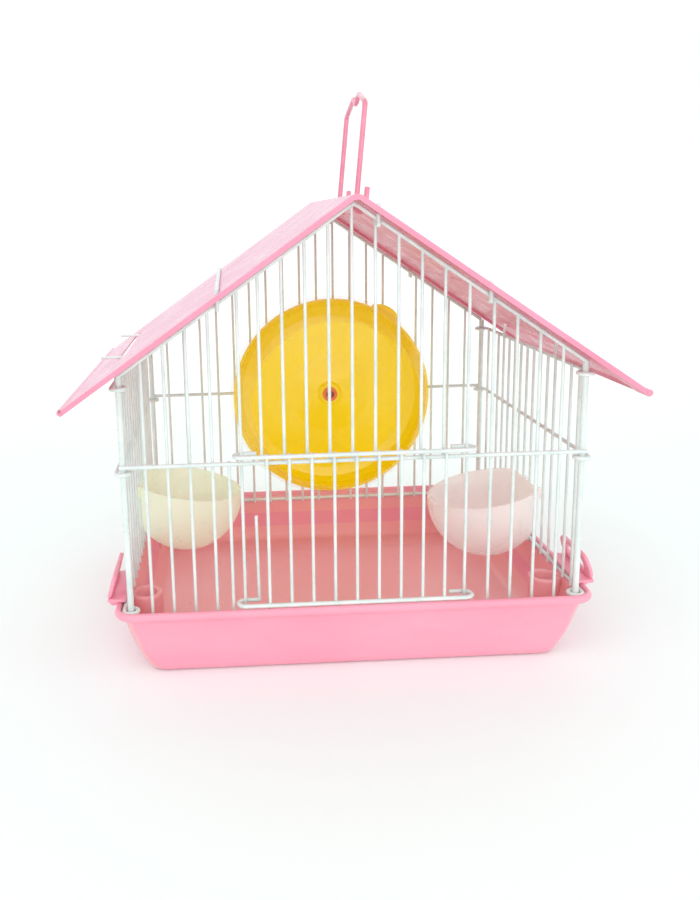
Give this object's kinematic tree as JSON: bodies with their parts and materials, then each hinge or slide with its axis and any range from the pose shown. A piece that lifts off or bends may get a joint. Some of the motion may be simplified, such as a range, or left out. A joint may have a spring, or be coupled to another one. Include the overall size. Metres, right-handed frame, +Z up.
{
  "type": "hamster cage",
  "caption": "Wire hamster cage with a pink sheet gable roof and carry handle, on a clip-on plastic tray, with a running wheel and hanging cups",
  "frame": {"origin": "middle of the tray's flat underside, on the surface it rests on", "axes": "+X to the right across the front, +Y to the back, +Z up"},
  "size_m": [0.2656, 0.1848, 0.2759],
  "materials": {
    "wire_white": "white coated wire, satin",
    "roof_pink": "pale pink coated sheet, glossy",
    "handle_pink": "pink coated wire, glossy",
    "tray_pink": "pink moulded plastic, semi gloss",
    "wheel_yellow": "yellow moulded plastic, glossy",
    "clear_plastic": "clear moulded plastic, glossy",
    "axle_red": "dark red moulded plastic, glossy",
    "ring_orange": "orange moulded plastic, glossy",
    "cup_cream": "translucent cream plastic, glossy",
    "cup_rose": "translucent rose plastic, glossy"
  },
  "bodies": {
    "house": {"tray": "tray_pink", "front_panel": "wire_white", "back_panel": "wire_white", "left_panel": "wire_white", "right_panel": "wire_white", "roof_sheet": "roof_pink", "roof_rod_left": "wire_white", "roof_rod_right": "wire_white", "handle_rod": "wire_white", "wheel_bracket": "wheel_yellow", "wheel_axle": "axle_red", "wheel_retainer": "ring_orange"},
    "wheel": {"wheel_dish": "wheel_yellow", "wheel_drum": "clear_plastic"},
    "door_frame": {"door": "wire_white"},
    "handle_bail": {"handle": "handle_pink"},
    "clip_fl": {"clip_front_left": "tray_pink"},
    "clip_fr": {"clip_front_right": "tray_pink"},
    "clip_bl": {"clip_back_left": "tray_pink"},
    "clip_br": {"clip_back_right": "tray_pink"},
    "left_cup": {"cup_left": "cup_cream"},
    "right_cup": {"cup_right": "cup_rose"}
  },
  "joints": [
    {"name": "door_slide", "type": "slide", "parent": "house", "child": "door_frame", "axis": [0, 0, 1], "range_m": [0, 0.062]},
    {"name": "wheel_spin", "type": "hinge", "parent": "house", "child": "wheel", "pos_m": [0.0044, 0.05, 0.107], "axis": [0, 1, 0], "continuous": true},
    {"name": "handle_tilt", "type": "hinge", "parent": "house", "child": "handle_bail", "pos_m": [0.0105, -0.004, 0.21807], "axis": [0, 1, 0], "range_deg": [-20, 90]},
    {"name": "clip_fl_turn", "type": "hinge", "parent": "house", "child": "clip_fl", "pos_m": [-0.1174, -0.058, 0.0306], "axis": [0, -1, 0], "range_deg": [0, 95]},
    {"name": "clip_fr_turn", "type": "hinge", "parent": "house", "child": "clip_fr", "pos_m": [0.1174, -0.058, 0.0306], "axis": [0, 1, 0], "range_deg": [0, 95]},
    {"name": "clip_bl_turn", "type": "hinge", "parent": "house", "child": "clip_bl", "pos_m": [-0.1174, 0.058, 0.0306], "axis": [0, -1, 0], "range_deg": [0, 95]},
    {"name": "clip_br_turn", "type": "hinge", "parent": "house", "child": "clip_br", "pos_m": [0.1174, 0.058, 0.0306], "axis": [0, 1, 0], "range_deg": [0, 95]},
    {"name": "left_cup_slide", "type": "slide", "parent": "house", "child": "left_cup", "axis": [0, 0, 1], "range_m": [-0.022, 0.026]},
    {"name": "right_cup_slide", "type": "slide", "parent": "house", "child": "right_cup", "axis": [0, 0, 1], "range_m": [-0.015, 0.032]}
  ]
}
